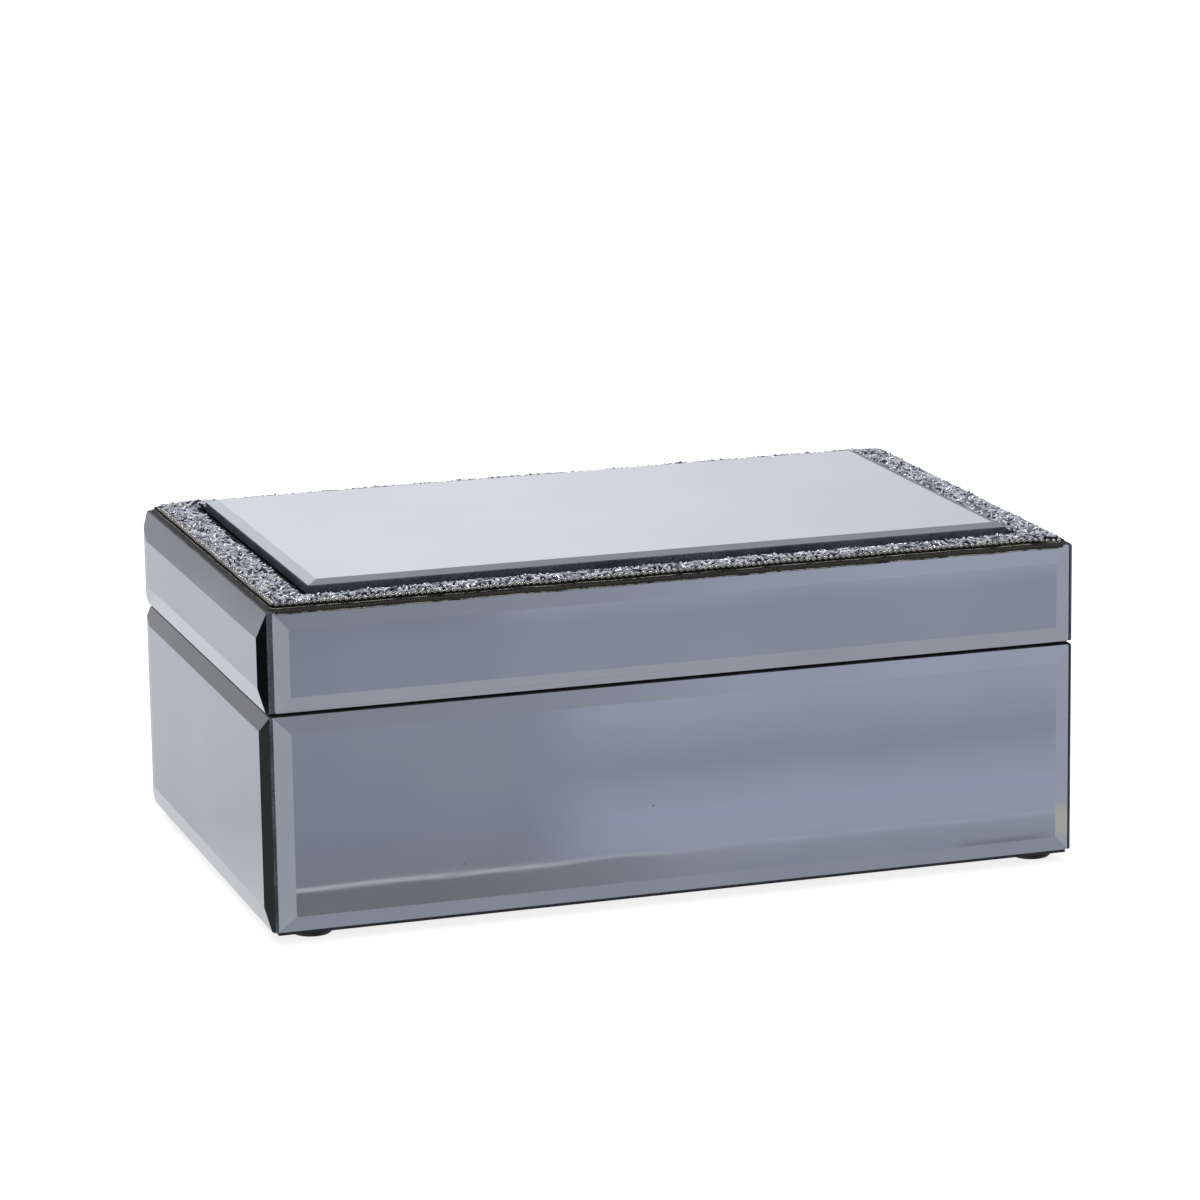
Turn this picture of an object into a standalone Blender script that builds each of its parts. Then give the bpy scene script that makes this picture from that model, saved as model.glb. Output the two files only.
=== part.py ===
"""Trinket box clad in bevelled mirror glass, with a hinged lid.

The carcass is fibreboard: four walls on a bottom board, and a shallow lid of the same make.  Bevelled mirrors
cover all eight sides, a thicker-edged mirror plate stands on the lid, and a tape of crushed crystal with a bead
chain runs round it.  The lid turns on two butt hinges whose heels stop it a little past upright.

Frame: +X to the right, -Y towards the front, +Z up, origin on the floor under the middle of the box.  Metres.
"""

import math

import bmesh
import bpy
from mathutils import Matrix, Vector

# Overall
WIDTH = 0.2500              # over the faces of the side mirrors
DEPTH = 0.1560              # over the faces of the front and back mirrors
GAP = 0.0002                # glue line between two neighbouring pieces

# Mirror glass
GLASS = 0.0038              # nominal 4 mm float glass
BEVEL_WIDTH = 0.0050
BEVEL_DROP = 0.0021         # how far the ground bevel falls away
BASE_GLASS_HEIGHT = 0.0634
LID_GLASS_HEIGHT = 0.0293
LID_JOINT = 0.0014          # slot between the base mirrors and the lid mirrors

# Fibreboard
WALL = 0.0080
BOTTOM_BOARD = 0.0040
TOP_BOARD = 0.0050
RIM_CLEARANCE = 0.0003      # between the two rims when the lid is down

# Underside
FOOT_RADIUS = 0.0062
FOOT_HEIGHT = 0.0024
FOOT_INSET = 0.0125         # foot centre to the front and back faces
FOOT_X = {"left": -0.1098, "right": 0.1145}    # stuck on by hand, so not quite even
FELT = 0.0008

# Lining
LINING = 0.0012             # velvet on card
FLOOR_PAD = 0.0025
LID_PAD = 0.0025
LINING_BELOW_RIM = 0.0010

# Crystal tape and the mirror plate on the lid
TAPE_BACKING = 0.0010
CRYSTAL_BED = 0.0010
BEAD_RADIUS = 0.00075
BEAD_LEDGE = 0.0018         # bare strip of backing that carries the bead chain
PLATE_SETBACK = 0.0010      # open channel between the tape and the plate
PLATE_MARGIN_X = 0.0176     # outer face of the box to the plate's edge
PLATE_MARGIN_Y = 0.0150
PLATE_BEVEL_WIDTH = 0.0034
PLATE_BEVEL_DROP = 0.0011
FOAM_TAPE = 0.0007
FOAM_INSET = 0.0040

# Hinges
HINGE_X = 0.0750            # each hinge's distance from the middle
HINGE_LENGTH = 0.0250
BARREL_RADIUS = 0.00175
PIN_RADIUS = 0.00075
BORE_RADIUS = 0.00083
LEAF = 0.0005
LEAF_REACH = 0.0105         # from the pin's axis to the leaf's far edge
LEAF_HALF_SLOT = 0.0001     # leaf face to the plane of the axis
CENTRE_KNUCKLE = 0.0094
KNUCKLE_SLOT = 0.0003
BARREL_CLEARANCE = 0.0003   # barrel to glass
MORTISE_PLAY = 0.00015
HEEL_TIP = 0.0030           # radius of the stop heels' outer edge
HEEL = 0.0006
HEEL_CLEAR = 0.0002
LID_HEEL_ANGLE = 50.0       # degrees above the horizontal, lid down
LID_OPENS = 100.0           # degrees to the stop
SCREW_X = 0.0080            # screw to the middle of its hinge
SCREW_HEAD_RADIUS = 0.00175
SCREW_HEAD = 0.0009
SCREW_SHANK_RADIUS = 0.00095
SCREW_LENGTH = 0.0075
PILOT_RADIUS = 0.00140
MERGE_INSET = 0.00003       # keeps faces of merged hinge pieces out of one plane

# Levels and planes that follow from those
BARREL_PROUD = BARREL_CLEARANCE + BARREL_RADIUS - BEVEL_DROP      # pin's axis behind the back mirror's face
HEEL_PROUD = HEEL_TIP * math.cos(math.radians(LID_HEEL_ANGLE)) + HEEL / 2 * math.sin(math.radians(LID_HEEL_ANGLE))
BEHIND = BARREL_PROUD + HEEL_PROUD                                # hinge standing out behind the box
FRONT_Y = -(DEPTH + BEHIND) / 2
BACK_Y = FRONT_Y + DEPTH
MID_Y = (FRONT_Y + BACK_Y) / 2
BOARD_X = WIDTH / 2 - GLASS - GAP                                 # outer faces of the fibreboard
BOARD_FRONT = FRONT_Y + GLASS + GAP
BOARD_BACK = BACK_Y - GLASS - GAP
FELT_Z = FOOT_HEIGHT + GAP
BASE_Z = FELT_Z + FELT + GAP
BASE_GLASS_TOP = BASE_Z + BASE_GLASS_HEIGHT
AXIS_Z = BASE_GLASS_TOP + LID_JOINT / 2
AXIS_Y = BACK_Y + BARREL_PROUD
LID_GLASS_Z = AXIS_Z + LID_JOINT / 2
LID_TOP_Z = LID_GLASS_Z + LID_GLASS_HEIGHT
BASE_RIM_Z = AXIS_Z - RIM_CLEARANCE / 2
LID_RIM_Z = AXIS_Z + RIM_CLEARANCE / 2
WALL_Z = BASE_Z + BOTTOM_BOARD + GAP
TOP_BOARD_Z = LID_TOP_Z - TOP_BOARD
INNER_X = BOARD_X - WALL
INNER_FRONT = BOARD_FRONT + WALL
INNER_BACK = BOARD_BACK - WALL
TAPE_Z = LID_TOP_Z + GAP
PLATE_Z = TAPE_Z + FOAM_TAPE + GAP
PLATE_X = WIDTH / 2 - PLATE_MARGIN_X
PLATE_FRONT = FRONT_Y + PLATE_MARGIN_Y
PLATE_BACK = BACK_Y - PLATE_MARGIN_Y

# name: (colour, roughness, metallic)
FINISHES = {
    "mirror": ((0.66, 0.70, 0.76), 0.03, 1.0),
    "board": ((0.03, 0.03, 0.03), 0.80, 0.0),
    "velvet": ((0.02, 0.02, 0.025), 0.95, 0.0),
    "felt": ((0.03, 0.03, 0.035), 0.95, 0.0),
    "foot": ((0.02, 0.02, 0.02), 0.45, 0.0),
    "crystal": ((0.60, 0.62, 0.68), 0.15, 0.3),
    "bead": ((0.45, 0.42, 0.36), 0.25, 1.0),
    "foam": ((0.02, 0.02, 0.02), 0.90, 0.0),
    "steel": ((0.62, 0.62, 0.62), 0.30, 1.0),
}


def clear_scene():
    for thing in list(bpy.data.objects):
        bpy.data.objects.remove(thing)


def make_material(name):
    colour, roughness, metallic = FINISHES[name]
    material = bpy.data.materials.new(name)
    material.use_nodes = True
    shader = material.node_tree.nodes["Principled BSDF"]
    shader.inputs["Base Color"].default_value = (*colour, 1.0)
    shader.inputs["Roughness"].default_value = roughness
    shader.inputs["Metallic"].default_value = metallic
    return material


def make_collection(name):
    collection = bpy.data.collections.new(name)
    bpy.context.scene.collection.children.link(collection)
    return collection


clear_scene()
MATERIALS = {finish: make_material(finish) for finish in FINISHES}
PARTS = make_collection("trinket_box")
CUTTERS = make_collection("cutters")

LID_AXIS = bpy.data.objects.new("lid_axis", None)
LID_AXIS.location = (0.0, AXIS_Y, AXIS_Z)
PARTS.objects.link(LID_AXIS)


def keep_only_in(thing, collection):
    for other in list(thing.users_collection):
        other.objects.unlink(thing)
    collection.objects.link(thing)


def finish_part(thing, name, finish, on_lid):
    """Names a new object, files it with the parts, and hangs it on the lid's axis if it moves with the lid."""
    thing.name = name
    thing.data.name = name
    thing.data.materials.clear()
    thing.data.materials.append(MATERIALS[finish])
    keep_only_in(thing, PARTS)
    if on_lid:
        thing.location = thing.location - LID_AXIS.location
        thing.parent = LID_AXIS
    return thing


def helper(thing, name):
    """Files an object that only shapes another one."""
    thing.name = name
    thing.hide_render = True
    thing.display_type = "WIRE"
    keep_only_in(thing, CUTTERS)
    return thing


def block(low, high):
    """A box between two corners, its size in its mesh."""
    low, high = Vector(low), Vector(high)
    bpy.ops.mesh.primitive_cube_add(size=1.0, location=(low + high) / 2)
    thing = bpy.context.object
    thing.data.transform(Matrix.Diagonal((*(high - low), 1.0)))
    return thing


def rod(radius, length, centre, axis="X", sides=32, end_radius=None):
    """A cylinder along an axis, or a cone frustum where end_radius is given for its far end."""
    turn = {"X": (0.0, math.pi / 2, 0.0), "Y": (-math.pi / 2, 0.0, 0.0), "Z": (0.0, 0.0, 0.0)}[axis]
    far = radius if end_radius is None else end_radius
    bpy.ops.mesh.primitive_cone_add(
        vertices=sides, radius1=radius, radius2=far, depth=length, location=centre, rotation=turn
    )
    thing = bpy.context.object
    thing.data.shade_smooth()
    thing.data.set_sharp_from_angle(angle=math.radians(40))
    return thing


def boolean(thing, others, operation):
    for other in others:
        modifier = thing.modifiers.new(f"{operation.lower()}_{other.name}", "BOOLEAN")
        modifier.operation = operation
        modifier.solver = "EXACT"
        modifier.object = other


def mirror_panel(name, size, back_centre, turn, on_lid, bevel=(BEVEL_WIDTH, BEVEL_DROP)):
    """A glass panel with a ground bevel on all four edges.  Its origin is the middle of its silvered back."""
    bpy.ops.mesh.primitive_cube_add(size=1.0, location=back_centre, rotation=turn)
    thing = bpy.context.object
    bevel_width, bevel_drop = bevel
    edge = GLASS - bevel_drop
    thing.data.transform(Matrix.Translation((0.0, 0.0, edge / 2)) @ Matrix.Diagonal((*size, edge, 1.0)))
    mesh = bmesh.new()
    mesh.from_mesh(thing.data)
    face = max(mesh.faces, key=lambda f: f.calc_center_median().z)
    bmesh.ops.inset_region(mesh, faces=[face], thickness=bevel_width, depth=bevel_drop)
    mesh.to_mesh(thing.data)
    mesh.free()
    return finish_part(thing, name, "mirror", on_lid)


def facing(side):
    """Rotation that turns a panel lying face up so that it faces this side."""
    return (math.pi / 2, 0.0, {"front": 0.0, "right": math.pi / 2, "back": math.pi, "left": -math.pi / 2}[side])


def side_mirrors(prefix, bottom, height, on_lid):
    """Four mirrors round the box: the side ones cover the ends of the front and back ones."""
    middle = bottom + height / 2
    across = (2 * (WIDTH / 2 - GLASS - GAP), height)
    along = (DEPTH - 2 * BEVEL_DROP, height)
    mirror_panel(f"{prefix}_front_mirror", across, (0.0, FRONT_Y + GLASS, middle), facing("front"), on_lid)
    mirror_panel(f"{prefix}_back_mirror", across, (0.0, BACK_Y - GLASS, middle), facing("back"), on_lid)
    for side, sign in (("left", -1), ("right", 1)):
        place = (sign * (WIDTH / 2 - GLASS), MID_Y, middle)
        mirror_panel(f"{prefix}_{side}_mirror", along, place, facing(side), on_lid)


def ring_of_slabs(prefix, suffix, outline, thickness, low_z, high_z, finish, on_lid):
    """Front and back slabs over the whole width, and side slabs between them, inside an (x, front, back) outline."""
    x, front, back = outline
    named = {
        "front": ((-x, front, low_z), (x, front + thickness, high_z)),
        "back": ((-x, back - thickness, low_z), (x, back, high_z)),
        "left": ((-x, front + thickness + GAP, low_z), (-x + thickness, back - thickness - GAP, high_z)),
        "right": ((x - thickness, front + thickness + GAP, low_z), (x, back - thickness - GAP, high_z)),
    }
    return {
        side: finish_part(block(low, high), f"{prefix}_{side}_{suffix}", finish, on_lid)
        for side, (low, high) in named.items()
    }


def hinge_places():
    return (("hinge_left", -HINGE_X), ("hinge_right", HINGE_X))


def cut_for_hinges(wall, rim_z, inward):
    """Mortises and pilot holes in a back wall's rim; inward is -1 where the wall hangs below its rim."""
    for name, x in hinge_places():
        depth = LEAF_HALF_SLOT + LEAF + MORTISE_PLAY
        floor_z = AXIS_Z + inward * depth
        past_rim = rim_z - inward * depth
        length = HINGE_LENGTH / 2 + MORTISE_PLAY
        reach = AXIS_Y - LEAF_REACH - MORTISE_PLAY
        corners = (
            (x - length, reach, min(floor_z, past_rim)),
            (x + length, BOARD_BACK + WALL, max(floor_z, past_rim)),
        )
        cuts = [helper(block(*corners), f"{wall.name}_{name}_mortise")]
        for number, screw_x in enumerate((x - SCREW_X, x + SCREW_X), 1):
            hole = rod(PILOT_RADIUS, 2 * SCREW_LENGTH, (screw_x, screw_row_y(), floor_z), "Z", 24)
            cuts.append(helper(hole, f"{wall.name}_{name}_pilot_{number}"))
        boolean(wall, cuts, "DIFFERENCE")


def screw_row_y():
    return (BOARD_BACK + AXIS_Y - LEAF_REACH) / 2


def heel_block(name, axis_point, half_length, inner_radius, angle, middle_x, inset=0.0):
    """A flat stop heel standing radially from the barrel, at an angle above the line that points backwards."""
    low = (-half_length, inner_radius, inset - HEEL / 2)
    high = (half_length, HEEL_TIP - inset, HEEL / 2 - inset)
    thing = block(low, high)
    turn = Matrix.Rotation(math.radians(angle), 4, "X")
    thing.data.transform(turn @ Matrix.Translation(thing.location))
    thing.location = axis_point + Vector((middle_x, 0.0, 0.0))
    return helper(thing, name)


def base_heel_angle():
    """Where the base's heel stands so that the lid's heel meets it at the end of its travel."""
    met_at = BARREL_RADIUS + HEEL_CLEAR
    between = math.degrees(2 * math.asin(HEEL / 2 / met_at))
    return LID_HEEL_ANGLE - LID_OPENS - between - 1.0


def hinge_leaf(name, x, rises):
    """One leaf with its knuckles, stop heel and screw holes; rises is +1 for the lid's leaf, -1 for the base's."""
    axis = Vector((x, AXIS_Y, AXIS_Z))
    half = HINGE_LENGTH / 2
    near, far = sorted((rises * LEAF_HALF_SLOT, rises * (LEAF_HALF_SLOT + LEAF)))
    plate_edge = -(BARREL_RADIUS + HEEL_CLEAR)
    plate = block(axis + Vector((-half, -LEAF_REACH, near)), axis + Vector((half, plate_edge, far)))
    outer = (HINGE_LENGTH - CENTRE_KNUCKLE) / 2 - KNUCKLE_SLOT
    if rises > 0:
        knuckles = [(0.0, CENTRE_KNUCKLE)]
        heel_angle = LID_HEEL_ANGLE
    else:
        knuckles = [(sign * (half - outer / 2), outer) for sign in (-1, 1)]
        heel_angle = base_heel_angle()
    adds = []
    for number, (offset, length) in enumerate(knuckles, 1):
        middle = axis + Vector((offset, 0.0, 0.0))
        adds.append(helper(rod(BARREL_RADIUS, length, middle), f"{name}_knuckle_{number}"))
        reach = length / 2 - MERGE_INSET
        tongue = block(
            middle + Vector((-reach, plate_edge - LEAF, near + MERGE_INSET)),
            middle + Vector((reach, -PIN_RADIUS, far - MERGE_INSET)),
        )
        adds.append(helper(tongue, f"{name}_tongue_{number}"))
        root = BORE_RADIUS + HEEL_CLEAR
        adds.append(heel_block(f"{name}_heel_{number}", axis, reach, root, heel_angle, offset, MERGE_INSET))
    if rises > 0:
        adds.append(heel_block(f"{name}_stop_bar", axis, half, BARREL_RADIUS + HEEL_CLEAR, heel_angle, 0.0))
    cuts = [helper(rod(BORE_RADIUS, HINGE_LENGTH * 2, axis), f"{name}_bore")]
    for number, screw_x in enumerate((x - SCREW_X, x + SCREW_X), 1):
        place = (screw_x, screw_row_y(), AXIS_Z + rises * (LEAF_HALF_SLOT + LEAF / 2))
        wide, narrow = SCREW_HEAD_RADIUS + 0.0003, SCREW_HEAD_RADIUS - 0.00015
        first, last = (wide, narrow) if rises > 0 else (narrow, wide)
        cuts.append(helper(rod(first, LEAF * 2, place, "Z", 24, last), f"{name}_screw_hole_{number}"))
    boolean(plate, adds, "UNION")
    boolean(plate, cuts, "DIFFERENCE")
    finish_part(plate, name, "steel", rises > 0)


def hinge_screw(name, x, rises):
    """A countersunk wood screw: a cone head sunk in the leaf, and a shank that runs to a point in the board."""
    head_z = AXIS_Z + rises * (LEAF_HALF_SLOT + LEAF * 0.1)
    point = SCREW_SHANK_RADIUS * 2
    head = (head_z, head_z + rises * SCREW_HEAD)
    profile = (
        (0.0, head[0]),
        (SCREW_HEAD_RADIUS, head[0]),
        (SCREW_SHANK_RADIUS, head[1]),
        (SCREW_SHANK_RADIUS, head_z + rises * (SCREW_LENGTH - point)),
        (0.0, head_z + rises * SCREW_LENGTH),
    )
    if rises > 0:
        profile = profile[::-1]
    mesh = bpy.data.meshes.new(name)
    points = [(radius, 0.0, z - AXIS_Z) for radius, z in profile]
    mesh.from_pydata(points, [(i, i + 1) for i in range(len(points) - 1)], [])
    thing = bpy.data.objects.new(name, mesh)
    PARTS.objects.link(thing)
    turned = thing.modifiers.new("turn", "SCREW")
    turned.axis = "Z"
    turned.steps = turned.render_steps = 16
    turned.use_merge_vertices = True
    turned.merge_threshold = 0.00001
    thing.location = (x, screw_row_y(), AXIS_Z)
    finish_part(thing, name, "steel", rises > 0)


def make_base():
    outline = (BOARD_X, BOARD_FRONT, BOARD_BACK)
    under_glass = (GLASS - BEVEL_DROP) / 2
    felt = block(
        (-BOARD_X - under_glass, BOARD_FRONT - under_glass, FELT_Z),
        (BOARD_X + under_glass, BOARD_BACK + under_glass, FELT_Z + FELT),
    )
    finish_part(felt, "base_underside_felt", "felt", False)
    board = block((-BOARD_X, BOARD_FRONT, BASE_Z), (BOARD_X, BOARD_BACK, BASE_Z + BOTTOM_BOARD))
    finish_part(board, "base_bottom_board", "board", False)
    walls = ring_of_slabs("base", "wall", outline, WALL, WALL_Z, BASE_RIM_Z, "board", False)
    cut_for_hinges(walls["back"], BASE_RIM_Z, -1)
    side_mirrors("base", BASE_Z, BASE_GLASS_HEIGHT, False)


def make_base_lining():
    low_z = WALL_Z
    pad = block(
        (-INNER_X + GAP, INNER_FRONT + GAP, low_z), (INNER_X - GAP, INNER_BACK - GAP, low_z + FLOOR_PAD)
    )
    finish_part(pad, "base_floor_pad", "velvet", False)
    outline = (INNER_X - GAP, INNER_FRONT + GAP, INNER_BACK - GAP)
    top = BASE_RIM_Z - LINING_BELOW_RIM
    ring_of_slabs("base", "lining", outline, LINING, low_z + FLOOR_PAD + GAP, top, "velvet", False)


def make_feet():
    for depth_name, y in (("front", FRONT_Y + FOOT_INSET), ("back", BACK_Y - FOOT_INSET)):
        for side, x in FOOT_X.items():
            foot = rod(FOOT_RADIUS, FOOT_HEIGHT, (x, y, FOOT_HEIGHT / 2), "Z", 40)
            softened = foot.modifiers.new("soft_edge", "BEVEL")
            softened.width = FOOT_HEIGHT / 3
            softened.segments = 3
            finish_part(foot, f"foot_{depth_name}_{side}", "foot", False)


def make_lid():
    outline = (BOARD_X, BOARD_FRONT, BOARD_BACK)
    board = block((-BOARD_X, BOARD_FRONT, TOP_BOARD_Z), (BOARD_X, BOARD_BACK, LID_TOP_Z))
    finish_part(board, "lid_top_board", "board", True)
    walls = ring_of_slabs("lid", "wall", outline, WALL, LID_RIM_Z, TOP_BOARD_Z - GAP, "board", True)
    cut_for_hinges(walls["back"], LID_RIM_Z, 1)
    side_mirrors("lid", LID_GLASS_Z, LID_GLASS_HEIGHT, True)


def make_lid_lining():
    high_z = TOP_BOARD_Z - GAP
    pad = block(
        (-INNER_X + GAP, INNER_FRONT + GAP, high_z - LID_PAD), (INNER_X - GAP, INNER_BACK - GAP, high_z)
    )
    finish_part(pad, "lid_pad", "velvet", True)
    outline = (INNER_X - GAP, INNER_FRONT + GAP, INNER_BACK - GAP)
    bottom = LID_RIM_Z + LINING_BELOW_RIM
    ring_of_slabs("lid", "lining", outline, LINING, bottom, high_z - LID_PAD - GAP, "velvet", True)


def crystal_tape(side, low, high, ledges):
    """One side of the tape: a backing strip with a raised bed of crystals, set back by the ledges where beads run."""
    low, high = Vector(low), Vector(high)
    backing = block((*low, TAPE_Z), (*high, TAPE_Z + TAPE_BACKING))
    bed_low = low + Vector(ledges[0])
    bed_high = high - Vector(ledges[1])
    bed = block((*bed_low, TAPE_Z + TAPE_BACKING / 2), (*bed_high, TAPE_Z + TAPE_BACKING + CRYSTAL_BED))
    boolean(backing, [helper(bed, f"crystal_bed_{side}")], "UNION")
    finish_part(backing, f"crystal_tape_{side}", "crystal", True)


def make_lid_trim():
    x, front, back = BOARD_X, BOARD_FRONT, BOARD_BACK
    ledge, bare = BEAD_LEDGE, GAP
    inner_x = PLATE_X + PLATE_SETBACK
    inner_front, inner_back = PLATE_FRONT - PLATE_SETBACK, PLATE_BACK + PLATE_SETBACK
    crystal_tape("front", (-x, front), (x, inner_front), ((ledge, ledge), (ledge, bare)))
    crystal_tape("back", (-x, inner_back), (x, back), ((ledge, bare), (ledge, ledge)))
    side_low, side_high = inner_front + GAP, inner_back - GAP
    crystal_tape("left", (-x, side_low), (-inner_x, side_high), ((ledge, bare), (bare, bare)))
    crystal_tape("right", (inner_x, side_low), (x, side_high), ((bare, bare), (ledge, bare)))
    line = BEAD_LEDGE / 2
    bead_z = TAPE_Z + TAPE_BACKING + GAP + BEAD_RADIUS
    clear = BEAD_RADIUS + GAP
    for side, y in (("front", front + line), ("back", back - line)):
        strand = rod(BEAD_RADIUS, 2 * (x - line + clear), (0.0, y, bead_z), "X", 16)
        finish_part(strand, f"bead_chain_{side}", "bead", True)
    for side, sign in (("left", -1), ("right", 1)):
        strand = rod(BEAD_RADIUS, back - front - 2 * (line + clear), (sign * (x - line), MID_Y, bead_z), "Y", 16)
        finish_part(strand, f"bead_chain_{side}", "bead", True)


def make_lid_plate():
    foam = block(
        (-PLATE_X + FOAM_INSET, PLATE_FRONT + FOAM_INSET, TAPE_Z),
        (PLATE_X - FOAM_INSET, PLATE_BACK - FOAM_INSET, TAPE_Z + FOAM_TAPE),
    )
    finish_part(foam, "plate_foam_tape", "foam", True)
    size = (2 * PLATE_X, PLATE_BACK - PLATE_FRONT)
    bevel = (PLATE_BEVEL_WIDTH, PLATE_BEVEL_DROP)
    mirror_panel("lid_mirror_plate", size, (0.0, MID_Y, PLATE_Z), (0.0, 0.0, 0.0), True, bevel)


def make_hinges():
    for name, x in hinge_places():
        hinge_leaf(f"{name}_base_leaf", x, -1)
        hinge_leaf(f"{name}_lid_leaf", x, 1)
        pin = rod(PIN_RADIUS, HINGE_LENGTH, (x, AXIS_Y, AXIS_Z), "X", 24)
        finish_part(pin, f"{name}_pin", "steel", False)
        for number, screw_x in enumerate((x - SCREW_X, x + SCREW_X), 1):
            hinge_screw(f"{name}_base_screw_{number}", screw_x, -1)
            hinge_screw(f"{name}_lid_screw_{number}", screw_x, 1)


make_base()
make_base_lining()
make_feet()
make_lid()
make_lid_lining()
make_lid_trim()
make_lid_plate()
make_hinges()
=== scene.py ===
import math
import random

import bmesh
import bpy
from mathutils import Euler, Matrix, Vector, noise


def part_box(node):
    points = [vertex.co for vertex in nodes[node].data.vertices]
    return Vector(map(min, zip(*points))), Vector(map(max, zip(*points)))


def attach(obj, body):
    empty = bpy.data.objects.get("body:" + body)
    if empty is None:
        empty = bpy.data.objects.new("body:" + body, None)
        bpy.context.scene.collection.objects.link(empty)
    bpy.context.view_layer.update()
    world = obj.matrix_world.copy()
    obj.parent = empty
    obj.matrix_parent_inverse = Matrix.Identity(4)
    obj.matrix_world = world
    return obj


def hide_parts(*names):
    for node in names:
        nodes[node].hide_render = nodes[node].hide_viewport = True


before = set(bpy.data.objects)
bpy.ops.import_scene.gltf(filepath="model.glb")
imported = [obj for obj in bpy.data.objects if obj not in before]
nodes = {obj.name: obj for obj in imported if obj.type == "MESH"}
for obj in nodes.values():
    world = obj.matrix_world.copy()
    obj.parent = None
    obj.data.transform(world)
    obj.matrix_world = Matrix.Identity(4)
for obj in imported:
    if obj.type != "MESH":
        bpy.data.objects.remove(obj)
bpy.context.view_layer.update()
mm = 0.001
noise.seed_set(5)              # without it the trim's wander would change from run to run
print("frame loaded:", len(nodes), "nodes")


# small helpers

def linear(hexColour):
    channels = [int(hexColour[i:i + 2], 16) / 255 for i in (1, 3, 5)]
    return tuple(c / 12.92 if c <= 0.04045 else ((c + 0.055) / 1.055) ** 2.4 for c in channels) + (1.0,)


def add(tree, kind, inputs=None, **settings):
    # adds one node: settings are its own options, inputs are values or sockets to link
    node = tree.nodes.new(kind)
    for key, value in settings.items():
        setattr(node, key, value)
    for name, value in (inputs or {}).items():
        if isinstance(value, bpy.types.NodeSocket):
            tree.links.new(value, node.inputs[name])
        else:
            node.inputs[name].default_value = value
    return node


def calcIn(tree):
    # a shorthand for this tree's Math nodes
    def calc(operation, *values):
        return add(tree, "ShaderNodeMath", dict(enumerate(values)), operation=operation).outputs[0]
    return calc


def ramp(tree, factor, stops):
    node = add(tree, "ShaderNodeValToRGB", {"Fac": factor})
    elements = node.color_ramp.elements
    while len(elements) < len(stops):
        elements.new(1.0)
    for element, (place, colour) in zip(elements, stops):
        element.position = place
        element.color = linear(colour) if isinstance(colour, str) else (colour, colour, colour, 1.0)
    return node.outputs["Color"]


def newMaterial(name, **values):
    material = bpy.data.materials.new(name)
    material.use_nodes = True
    shader = material.node_tree.nodes["Principled BSDF"]
    for key, value in values.items():
        socket = shader.inputs[key.replace("_", " ")]
        socket.default_value = linear(value) if isinstance(value, str) else value
    return material, material.node_tree, shader


def place(tree, scale=(1.0, 1.0, 1.0)):
    # the piece's own Object coordinates, in metres, stretched by scale
    where = add(tree, "ShaderNodeTexCoord").outputs["Object"]
    return add(tree, "ShaderNodeMapping", {"Vector": where, "Scale": scale}).outputs["Vector"]


def noiseAt(tree, where, size, detail=2.0, rough=0.5):
    # noise whose blotches are about size metres across
    return add(tree, "ShaderNodeTexNoise", {
        "Vector": where, "Scale": 1.0 / size, "Detail": detail, "Roughness": rough,
    }).outputs["Fac"]


def bump(tree, height, depth, strength=1.0):
    return add(tree, "ShaderNodeBump", {
        "Height": height, "Distance": depth, "Strength": strength,
    }).outputs["Normal"]


def newPiece(name, mesh, materials, body, replaced=()):
    thing = bpy.data.objects.new(name, mesh)
    bpy.context.scene.collection.objects.link(thing)
    if not mesh.materials:
        for material in materials:
            mesh.materials.append(material)
    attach(thing, body)
    if replaced:
        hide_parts(*replaced)
    return thing


def meshFrom(bm, name, smooth=False):
    bmesh.ops.recalc_face_normals(bm, faces=bm.faces)
    mesh = bpy.data.meshes.new(name)
    bm.to_mesh(mesh)
    bm.free()
    for face in mesh.polygons:
        face.use_smooth = smooth
    return mesh


# materials

def silveredMirrorGlass():
    # Float glass silvered on its back: a sharp, slightly cool reflection, with wiping haze and a few dust specks.
    material, tree, shader = newMaterial("silveredMirrorGlass", Metallic=1.0)
    cloud = noiseAt(tree, place(tree), 45 * mm, 3.0)
    wiping = noiseAt(tree, place(tree, (1.0, 1.0, 5.0)), 9 * mm, 5.0, 0.6)
    haze = calcIn(tree)("MULTIPLY", wiping, cloud)
    rough = ramp(tree, haze, [(0.16, 0.006), (0.30, 0.014), (0.48, 0.03)])
    tree.links.new(rough, shader.inputs["Roughness"])
    silver = ramp(tree, cloud, [(0.30, "#D6D9E0"), (0.70, "#DDE0E6")])
    specks = add(tree, "ShaderNodeTexVoronoi", {
        "Vector": place(tree), "Scale": 1.0 / (17 * mm),
    }).outputs["Distance"]
    clean = ramp(tree, specks, [(0.012, 0.0), (0.020, 1.0)])
    dusty = add(tree, "ShaderNodeMix", {0: clean, 6: linear("#7C8087"), 7: silver}, data_type="RGBA")
    tree.links.new(dusty.outputs[2], shader.inputs["Base Color"])
    # float glass is never quite flat, so the reflection swims a little
    swim = noiseAt(tree, place(tree), 55 * mm, 1.0)
    tree.links.new(bump(tree, swim, 0.02 * mm), shader.inputs["Normal"])
    return material


def groundGlassEdge():
    # Edge ground with a diamond wheel and left unpolished: dull slate with faint grinding lines along it.
    material, tree, shader = newMaterial("groundGlassEdge", Roughness=0.5, Specular_IOR_Level=0.3)
    lines = noiseAt(tree, place(tree), 0.7 * mm, 4.0)
    patches = noiseAt(tree, place(tree), 12 * mm, 2.0)
    tone = calcIn(tree)("MULTIPLY", lines, patches)
    tree.links.new(ramp(tree, tone, [(0.15, "#2C2F36"), (0.40, "#50535C")]), shader.inputs["Base Color"])
    tree.links.new(bump(tree, lines, 0.04 * mm), shader.inputs["Normal"])
    return material


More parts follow.
